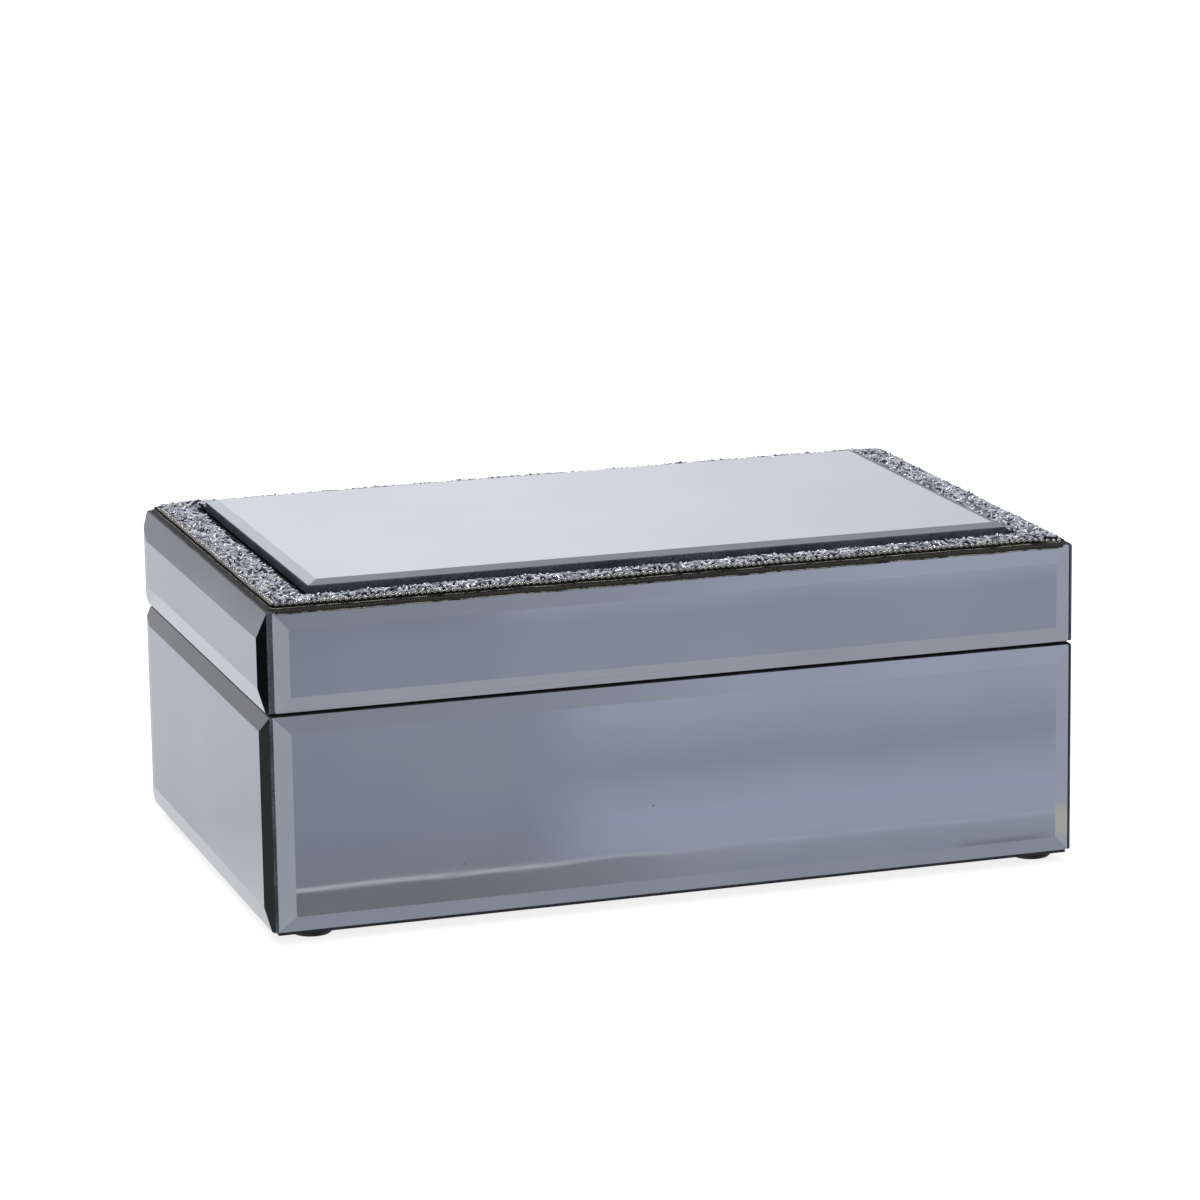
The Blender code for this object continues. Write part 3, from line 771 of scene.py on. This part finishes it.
def sweepMesh(points, section, name, rib):
    # carries a closed section of (outwards, up) points round a level loop
    # and gives it a UV map that runs along it in ribs
    bm = bmesh.new()
    uv = bm.loops.layers.uv.new("along")
    rings, lengths = [], [0.0]
    for i, point in enumerate(points):
        ahead = points[(i + 1) % len(points)]
        along = (ahead - points[i - 1]).normalized()
        outward = along.cross(Vector((0, 0, 1))).normalized()
        rings.append([bm.verts.new(point + outward * out + Vector((0, 0, up))) for out, up in section])
        lengths.append(lengths[-1] + (ahead - point).length)
    for i, ring in enumerate(rings):
        following = rings[(i + 1) % len(rings)]
        for k in range(len(section)):
            n = (k + 1) % len(section)
            face = bm.faces.new((ring[k], following[k], following[n], ring[n]))
            spans = ((lengths[i], k), (lengths[i + 1], k), (lengths[i + 1], k + 1), (lengths[i], k + 1))
            for loop, (run, turn) in zip(face.loops, spans):
                loop[uv].uv = (run / rib, turn / len(section) * 2.0)
    return meshFrom(bm, name, smooth=True)


def makeEdging():
    tapeLow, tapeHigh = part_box("crystal_tape_front")[0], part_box("crystal_tape_back")[1]
    centreY, halfY = (tapeLow.y + tapeHigh.y) / 2, (tapeHigh.y - tapeLow.y) / 2

    def loop(wander, seed):
        return ringPath(
            tapeHigh.x - endTuck, halfY, edgeRibbon["cornerRadius"], centreY, tapeLow.z,
            edgeRibbon["step"], wander, seed,
        )

    section = [(out * mm, up * mm) for out, up in edgeRibbon["section"]]
    mesh = sweepMesh(loop(edgeRibbon["wander"], edgeRibbon["seed"]), section, "edgeRibbon", edgeRibbon["rib"])
    newPiece("edgeRibbon", mesh, [braid], "lid")
    sides = edgeRibbon["wireSides"]
    for number, (radius, out, up) in enumerate(edgeWires, 1):
        turns = [2 * math.pi * k / sides for k in range(sides)]
        section = [(out + radius * math.cos(turn), up + radius * math.sin(turn)) for turn in turns]
        path = loop(edgeRibbon["wireWander"], edgeRibbon["wireSeed"] + number)
        mesh = sweepMesh(path, section, "edgeWire", edgeRibbon["rib"])
        newPiece(f"edgeWire{number}", mesh, [wire], "lid")


makeBeadChain()
makeEdging()
print("bead chain made")


# lining

lining = {
    "padEdge": 2.2 * mm,       # how far in the pads' edges roll over
    "padCrown": 0.5 * mm,
    "padGrid": 3.0 * mm,
    "padShoulder": 0.35,       # share of the pad's height at its very edge
    "ripple": 0.12 * mm,
    "rippleSize": 14 * mm,
    "cardEdge": 0.45 * mm,
}


def padMesh(name, low, high, facing):
    # a thin foam pad wrapped in velvet: its edges roll down, its face is gently crowned
    size = high - low
    countX = round(size.x / lining["padGrid"])
    countY = round(size.y / lining["padGrid"])
    bm = bmesh.new()
    sheets = []
    for level in (0, 1):
        rows = []
        for i in range(countX + 1):
            column = []
            for j in range(countY + 1):
                # rows crowd towards the rolled edges
                u = 0.5 - 0.5 * math.cos(math.pi * i / countX)
                v = 0.5 - 0.5 * math.cos(math.pi * j / countY)
                x, y = low.x + size.x * u, low.y + size.y * v
                nearest = min(x - low.x, high.x - x, y - low.y, high.y - y)
                t = min(nearest / lining["padEdge"], 1.0)
                roll = math.sqrt(max(0.0, 1.0 - (1.0 - t) ** 2))
                ripple = lining["ripple"] * noise.noise(Vector((x, y, 0)) / lining["rippleSize"])
                crown = lining["padCrown"] * (math.sin(math.pi * u) * math.sin(math.pi * v)) ** 0.5
                rolled = lining["padShoulder"] + (1.0 - lining["padShoulder"]) * roll
                height = (size.z - lining["padCrown"]) * rolled + crown + ripple * roll
                height = min(height, size.z) if level else 0.0
                z = low.z + height if facing > 0 else high.z - height
                column.append(bm.verts.new((x, y, z)))
            rows.append(column)
        sheets.append(rows)
    bottom, top = sheets
    for rows in sheets:
        for i in range(countX):
            for j in range(countY):
                bm.faces.new((rows[i][j], rows[i + 1][j], rows[i + 1][j + 1], rows[i][j + 1]))
    rim = [(i, 0) for i in range(countX)] + [(countX, j) for j in range(countY)]
    rim += [(i, countY) for i in range(countX, 0, -1)] + [(0, j) for j in range(countY, 0, -1)]
    for (i, j), (k, m) in zip(rim, rim[1:] + rim[:1]):
        bm.faces.new((bottom[i][j], bottom[k][m], top[k][m], top[i][j]))
    return meshFrom(bm, name, smooth=True)


def cardMesh(name, low, high, edge):
    # velvet pulled over card: a thin slab with soft edges
    bm = bmesh.new()
    bmesh.ops.create_cube(bm, size=1.0)
    bmesh.ops.scale(bm, vec=high - low, verts=bm.verts)
    bmesh.ops.translate(bm, vec=(low + high) / 2, verts=bm.verts)
    bmesh.ops.bevel(bm, geom=bm.edges[:], offset=edge, segments=3, profile=0.5, affect="EDGES")
    return meshFrom(bm, name, smooth=True)


def makeLining():
    for body, node, facing in (("base", "base_floor_pad", 1), ("lid", "lid_pad", -1)):
        mesh = padMesh(node, *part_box(node), facing)
        pad = newPiece(f"{body}VelvetPad", mesh, [velvet], body, [node])
    for body in ("base", "lid"):
        for side in ("front", "back", "left", "right"):
            node = f"{body}_{side}_lining"
            mesh = cardMesh(node, *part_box(node), lining["cardEdge"])
            newPiece(f"{body}{side.title()}Lining", mesh, [velvet], body, [node])


makeLining()
print("lining made")


# feet, screws and the carried-over CAD parts

foot = {
    "steps": 64,
    # share of the radius, share of the height up from the floor
    "profile": (
        (0.0, 0.0), (0.80, 0.0), (0.90, 0.06), (0.965, 0.22),
        (1.0, 0.50), (1.0, 0.82), (0.97, 1.0), (0.0, 1.0),
    ),
    "sharpAngle": 40,
}


def latheMesh(bm, profile, centre, steps):
    # turns (radius, height) points round a vertical line
    rings = []
    for radius, height in profile:
        spot = centre + Vector((0, 0, height))
        if radius == 0.0:
            rings.append([bm.verts.new(spot)])
            continue
        ring = []
        for k in range(steps):
            angle = 2 * math.pi * k / steps
            ring.append(bm.verts.new(spot + radius * Vector((math.cos(angle), math.sin(angle), 0))))
        rings.append(ring)
    for lower, upper in zip(rings, rings[1:]):
        for k in range(steps):
            n = (k + 1) % steps
            corners = [lower[k % len(lower)], lower[n % len(lower)]]
            corners += [upper[n % len(upper)], upper[k % len(upper)]]
            bm.faces.new(list(dict.fromkeys(corners)))      # a triangle where a ring is one point


def makeFeet():
    for depthName in ("front", "back"):
        for side in ("left", "right"):
            node = f"foot_{depthName}_{side}"
            low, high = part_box(node)
            radius, height = (high.x - low.x) / 2, high.z - low.z
            centre = Vector(((low.x + high.x) / 2, (low.y + high.y) / 2, low.z))
            bm = bmesh.new()
            latheMesh(bm, [(r * radius, z * height) for r, z in foot["profile"]], centre, foot["steps"])
            mesh = meshFrom(bm, node, smooth=True)
            mesh.set_sharp_from_angle(angle=math.radians(foot["sharpAngle"]))
            newPiece(f"{depthName}{side.title()}Foot", mesh, [rubber], "base", [node])


screw = {
    "headRadius": 1.75 * mm,
    "headHeight": 0.9 * mm,
    "dome": 0.12 * mm,
    "shankRadius": 0.62 * mm,
    "threadRadius": 0.95 * mm,
    "threadPitch": 0.8 * mm,
    "neck": 0.4 * mm,          # plain shank under the head
    "point": 1.2 * mm,
    "length": 7.5 * mm,
    "slotLength": 2.0 * mm,
    "slotWidth": 0.42 * mm,
    "slotDepth": 0.5 * mm,
    "steps": 24,
    "seed": 21,
}


def screwTemplate():
    # head down the +Z way from its face: countersunk cone, shank with thread ridges, point
    profile = [(0.0, 0.0), (screw["headRadius"] * 0.6, 0.0), (screw["headRadius"], screw["dome"])]
    profile.append((screw["threadRadius"], screw["headHeight"]))
    z = screw["headHeight"] + screw["neck"]
    profile.append((screw["shankRadius"], z))
    while z + screw["threadPitch"] < screw["length"] - screw["point"]:
        profile.append((screw["threadRadius"], z + screw["threadPitch"] * 0.5))
        z += screw["threadPitch"]
        profile.append((screw["shankRadius"], z))
    profile.append((0.0, screw["length"]))
    bm = bmesh.new()
    latheMesh(bm, profile, Vector((0, 0, 0)), screw["steps"])
    body = bpy.data.objects.new("screwBody", meshFrom(bm, "screwBody"))
    bpy.context.scene.collection.objects.link(body)
    cutters = []
    for across in (0, 1):
        size = [screw["slotLength"], screw["slotWidth"]]
        bm = bmesh.new()
        bmesh.ops.create_cube(bm, size=1.0)
        bmesh.ops.scale(bm, vec=(size[across], size[1 - across], screw["slotDepth"] * 2), verts=bm.verts)
        cutter = bpy.data.objects.new("slotCutter", meshFrom(bm, "slotCutter"))
        bpy.context.scene.collection.objects.link(cutter)
        modifier = body.modifiers.new("slot", "BOOLEAN")
        modifier.operation = "DIFFERENCE"
        modifier.solver = "EXACT"
        modifier.object = cutter
        cutters.append(cutter)
    mesh = bpy.data.meshes.new_from_object(body.evaluated_get(bpy.context.evaluated_depsgraph_get()))
    for thing in [body] + cutters:
        bpy.data.objects.remove(thing)
    return mesh


def makeScrews():
    template = screwTemplate()
    rng = random.Random(screw["seed"])
    for hinge in ("left", "right"):
        for body, sign in (("base", -1), ("lid", 1)):
            for number in (1, 2):
                node = f"hinge_{hinge}_{body}_screw_{number}"
                low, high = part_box(node)
                face = low.z if sign > 0 else high.z
                centre = Vector(((low.x + high.x) / 2, (low.y + high.y) / 2, face))
                turn = Euler((0.0 if sign > 0 else math.pi, 0.0, rng.uniform(0, math.pi))).to_matrix().to_4x4()
                mesh = template.copy()
                mesh.transform(Matrix.Translation(centre) @ turn)
                newPiece(f"{hinge}{body.title()}Screw{number}", mesh, [zincSteel], body, [node])


def dressCadNodes():
    # by the last word of the node's name
    finishes = {
        "wall": board, "board": board, "felt": felt, "tape": foam, "leaf": zincSteel, "pin": zincSteel,
    }
    for name, thing in nodes.items():
        finish = finishes.get(name.split("_")[-1])
        if finish and not thing.hide_render:
            thing.data.materials.clear()
            thing.data.materials.append(finish)


makeFeet()
makeScrews()
dressCadNodes()
print("feet, screws and CAD finishes done")


# stage, light and camera

stage = {
    "floorRadius": 4.0,
    "floorSides": 96,
    "floorDrop": 0.2 * mm,
    "floorColour": "#9A9A9B",
    "floorGlow": 0.82,
}
lamps = {      # place, size, watts and whether reflections show it
    "overheadSoftbox": ((-0.3, 0.2, 1.6), 1.4, 17.0, False),
    "frontSoftbox": ((0.5, -1.7, 1.0), 1.0, 7.0, False),
}
sparkleLamps = {
    "turns": (25, 115, 205, 295),      # degrees round the box
    "reach": 1.1,
    "height": 1.7,
    "size": 0.16,
    "power": 3.6,
}
# The studio that the mirrors see, as soft bands. Behind the box they go by elevation in degrees.
behindBands = [
    (-90, "#B0B4BA"), (-24, "#CDCECF"), (-19.0, "#D5D6D8"), (-16.7, "#DEDFE2"), (-15.9, "#BABEC3"),
    (-14.5, "#C4C7CC"), (-12, "#CACCD1"), (-9, "#B1B2B5"), (-5.6, "#AEAFB2"), (-5.1, "#9A9B9D"),
    (4, "#99999B"), (7.5, "#C8CACE"), (10.5, "#EDEEF3"), (14, "#EDEEF3"), (21, "#C7CACC"),
    (46, "#A6A9B0"), (90, "#C4C7CC"),
]
# Ahead is a wall parallel to the box's front, plain on the left and bluish on the right, by rise in degrees.
plainBands = [
    (-90, "#787C84"), (-63.5, "#74787F"), (-61.3, "#92969D"), (-56, "#9DA1A7"), (-40, "#85898F"),
    (-18, "#7D8084"), (-12, "#8B8F9A"), (0, "#A0A4AC"), (30, "#8F939B"), (60, "#A9ABB4"), (90, "#C8CAD2"),
]
bluishBands = [
    (-90, "#9A9FAB"), (-63.5, "#979CA4"), (-61.3, "#A7AAB0"), (-30, "#9BA0AA"), (-18, "#949AA4"),
    (-12, "#ACB0BC"), (0, "#B0B4BE"), (30, "#A8AEBC"), (60, "#B4B8C2"), (90, "#C8CAD2"),
]
# Between these heights, as shares of the distance, the wall has finer bands.
closeRange = (-0.325, -0.235)
plainClose = [
    (-0.325, "#7D8084"), (-0.3035, "#7B7E81"), (-0.3025, "#898D95"), (-0.295, "#8A8F99"), (-0.290, "#8C929D"),
    (-0.283, "#8F959F"), (-0.268, "#9097A1"), (-0.250, "#9097A2"), (-0.2425, "#8D929D"), (-0.2397, "#8B8F9A"),
]
bluishClose = [
    (-0.325, "#949AA4"), (-0.309, "#949AA4"), (-0.3045, "#999FA8"), (-0.3025, "#A0A6B4"), (-0.300, "#A3AABA"),
    (-0.293, "#A3ABBC"), (-0.287, "#9EA5B3"), (-0.282, "#959BA8"), (-0.277, "#9AA1AF"), (-0.269, "#A3AABA"),
    (-0.265, "#A3AABA"), (-0.258, "#989EA8"), (-0.246, "#989EAB"), (-0.242, "#A3A8B7"), (-0.2397, "#ACB0BC"),
]
# Other things in the studio: from, to, and how soft the edge is, or where a change begins and ends.
studio = {
    "rightOfBehind": (16, 23),         # azimuths where the room behind darkens a little
    "leftOfBehind": (-17.0, -19.5),
    "close": (-0.325, -0.2365, 0.002),
    "seam": 0.301,                     # where plain gives way to bluish, to the right
    "seamSoft": 0.013,
    "tableEdge": (-0.3031, -0.3022, 0.0003),
    "tableShare": 0.9,
    "below": (-0.3020, -0.3035),       # under the table's edge
    "belowBluish": (0.28, 0.37),
    "notchAcross": (0.411, 0.432, 0.004),
    "notchTop": (-0.3072, -0.3088),
    "leftWall": (0.0, -0.45),
    "whiteCard": (-1.9, -2.5),
    "rightWall": (1.2, 2.2),
    "turnOver": (0.25, -0.30),         # depth where behind gives way to ahead
    "warmCornerUp": (-15.8, -15.45, 0.08),
    "warmCornerRound": (100, 120, 3),
    "flagRound": (-74, -53, 3),
    "flagUp": (-24, -7, 2),
    "flagStep": (-14.0, -14.5),
    "glowFrom": (56, 78),
    "glow": 0.7,
}
camera = {
    "lens": 142.0,
    "azimuth": 17.85,          # degrees to the right of the depth axis
    "elevation": 12.94,
    "roll": -0.85,
    "aim": (-0.0125, -0.0401, 0.0842),
    "distance": 1.4,
    "sensor": 36.0,
    "clip": (0.05, 20.0),
}


def makeFloor():
    bm = bmesh.new()
    bmesh.ops.create_circle(bm, cap_ends=True, segments=stage["floorSides"], radius=stage["floorRadius"])
    mesh = meshFrom(bm, "floor")
    floor = bpy.data.objects.new("floor", mesh)
    floor.location.z = -stage["floorDrop"]
    bpy.context.scene.collection.objects.link(floor)
    material, tree, shader = newMaterial(
        "paleStudioFloor", Base_Color=stage["floorColour"], Roughness=0.9, Specular_IOR_Level=0.0,
        Emission_Color="#FFFFFF", Emission_Strength=stage["floorGlow"],
    )
    mesh.materials.append(material)
    floor.visible_glossy = False


def makeWorld():
    # what the mirrors see: soft bands of light and shade round the set
    world = bpy.data.worlds.new("studio")
    bpy.context.scene.world = world
    world.use_nodes = True
    tree = world.node_tree
    tree.nodes.clear()
    direction = add(tree, "ShaderNodeTexCoord").outputs["Generated"]
    x, y, z = add(tree, "ShaderNodeSeparateXYZ", {0: direction}).outputs
    calc = calcIn(tree)

    def smooth(value, first, last):
        return add(tree, "ShaderNodeMapRange", {"Value": value, "From Min": first, "From Max": last},
                   interpolation_type="SMOOTHSTEP", clamp=True).outputs[0]

    def within(value, first, last, soft):
        return calc("MULTIPLY", smooth(value, first - soft, first + soft), smooth(value, last + soft, last - soft))

    def blend(factor, a, b, kind="MIX"):
        ends = [linear(end) if isinstance(end, str) else end for end in (a, b)]
        node = add(tree, "ShaderNodeMix", {0: factor, 6: ends[0], 7: ends[1]}, data_type="RGBA", blend_type=kind)
        return node.outputs[2]

    def bands(value, stops, first=-90, last=90):
        spot = add(tree, "ShaderNodeMapRange", {"Value": value, "From Min": first, "From Max": last}).outputs[0]
        return ramp(tree, spot, [((at - first) / (last - first), colour) for at, colour in stops])

    elevation = calc("DEGREES", calc("ARCSINE", z))
    azimuth = calc("DEGREES", calc("ARCTAN2", x, y))      # 0 behind the box, 90 to its right, +-180 in front

    behind = bands(elevation, behindBands)
    darker = blend(1.0, behind, "#EDEDED", "MULTIPLY")
    behind = blend(smooth(azimuth, *studio["rightOfBehind"]), behind, darker)
    warmer = blend(1.0, behind, "#EDEBE9", "MULTIPLY")
    behind = blend(smooth(azimuth, *studio["leftOfBehind"]), behind, warmer)

    # along is to the right on the wall ahead, up is above the horizon, both as shares of the distance
    depth = calc("MAXIMUM", calc("MULTIPLY", y, -1.0), 0.05)
    along, up = calc("DIVIDE", x, depth), calc("DIVIDE", z, depth)
    rise = calc("DEGREES", calc("ARCTANGENT", up))
    close = within(up, *studio["close"])
    plain = blend(close, bands(rise, plainBands), bands(up, plainClose, *closeRange))
    bluish = blend(close, bands(rise, bluishBands), bands(up, bluishClose, *closeRange))

    # the seam between them leans to the right, and softens, above and below the close range
    upper = smooth(up, -0.1, 0.3)
    seam = calc("MULTIPLY_ADD", smooth(up, -0.262, -0.264), 0.012, studio["seam"])
    seam = calc("MULTIPLY_ADD", upper, 0.08, seam)
    seam = calc("MULTIPLY_ADD", smooth(up, -0.4, -1.2), 0.27, seam)
    soft = calc("MULTIPLY_ADD", upper, 0.055, studio["seamSoft"])
    crossed = smooth(calc("DIVIDE", calc("SUBTRACT", along, seam), soft), -1.0, 1.0)

    # under the table's edge the bluish part is wider, with a notch in it
    below = smooth(up, *studio["below"])
    notch = calc("MULTIPLY", within(along, *studio["notchAcross"]), smooth(up, *studio["notchTop"]))
    wide = calc("MULTIPLY", smooth(along, *studio["belowBluish"]), calc("MULTIPLY_ADD", notch, -0.8, 1.0))
    above = calc("SUBTRACT", 1.0, below)
    share = calc("ADD", calc("MULTIPLY", crossed, above), calc("MULTIPLY", wide, below))
    ahead = blend(share, plain, bluish)
    fading = calc("SUBTRACT", 1.0, calc("MULTIPLY", share, 0.75))
    table = calc("MULTIPLY", within(up, *studio["tableEdge"]), fading)
    ahead = blend(calc("MULTIPLY", table, studio["tableShare"]), ahead, "#C2C3C6")
    ahead = blend(smooth(along, *studio["leftWall"]), ahead, "#A9AFB5")
    ahead = blend(smooth(along, *studio["whiteCard"]), ahead, "#EFEBE5")
    ahead = blend(smooth(along, *studio["rightWall"]), ahead, "#A7ABB6")

    around = blend(smooth(y, *studio["turnOver"]), behind, ahead)
    # a warm corner of the room, low on the right
    cornerUp, cornerRound = studio["warmCornerUp"], studio["warmCornerRound"]
    corner = calc("MULTIPLY", within(elevation, *cornerUp), within(azimuth, *cornerRound))
    around = blend(calc("MULTIPLY", corner, 0.8), around, "#BFB9A8")
    # a black flag stands to the left
    flag = calc("MULTIPLY", within(azimuth, *studio["flagRound"]), within(elevation, *studio["flagUp"]))
    around = blend(flag, around, blend(smooth(elevation, *studio["flagStep"]), "#111213", "#353732"))
    # the overhead bank of lights
    glow = calc("MULTIPLY_ADD", smooth(elevation, *studio["glowFrom"]), studio["glow"], 1.0)
    seen = add(tree, "ShaderNodeBackground", {"Color": around, "Strength": glow})
    white = add(tree, "ShaderNodeBackground", {"Color": (1, 1, 1, 1), "Strength": 1.0})
    straight = add(tree, "ShaderNodeLightPath").outputs["Is Camera Ray"]
    mixed = add(tree, "ShaderNodeMixShader", {0: straight, 1: seen.outputs[0], 2: white.outputs[0]})
    add(tree, "ShaderNodeOutputWorld", {"Surface": mixed.outputs[0]})


def makeLights():
    placed = dict(lamps)
    reachOut = sparkleLamps["reach"]
    for number, turn in enumerate(sparkleLamps["turns"], 1):
        turn = math.radians(turn)
        spot = (reachOut * math.sin(turn), reachOut * math.cos(turn), sparkleLamps["height"])
        placed[f"sparkleLamp{number}"] = (spot, sparkleLamps["size"], sparkleLamps["power"], True)
    for name, (spot, size, power, glossy) in placed.items():
        data = bpy.data.lights.new(name, "AREA")
        data.shape = "SQUARE"
        data.size = size
        data.energy = power
        light = bpy.data.objects.new(name, data)
        light.location = spot
        light.rotation_euler = (-Vector(spot)).to_track_quat("-Z", "Y").to_euler()
        light.visible_camera = False
        light.visible_glossy = glossy
        bpy.context.scene.collection.objects.link(light)


def makeCamera():
    azimuth, elevation = math.radians(camera["azimuth"]), math.radians(camera["elevation"])
    level = math.cos(elevation)
    forward = Vector((math.sin(azimuth) * level, math.cos(azimuth) * level, -math.sin(elevation)))
    data = bpy.data.cameras.new("camera")
    data.lens = camera["lens"]
    data.sensor_width = camera["sensor"]
    data.clip_start, data.clip_end = camera["clip"]
    thing = bpy.data.objects.new("camera", data)
    thing.location = Vector(camera["aim"]) - forward * camera["distance"]
    turn = forward.to_track_quat("-Z", "Y").to_matrix()
    thing.rotation_euler = (turn @ Matrix.Rotation(math.radians(camera["roll"]), 3, "Z")).to_euler()
    bpy.context.scene.collection.objects.link(thing)
    bpy.context.scene.camera = thing


makeFloor()
makeWorld()
makeLights()
makeCamera()
bpy.context.scene.view_settings.view_transform = "Standard"
print("stage made")
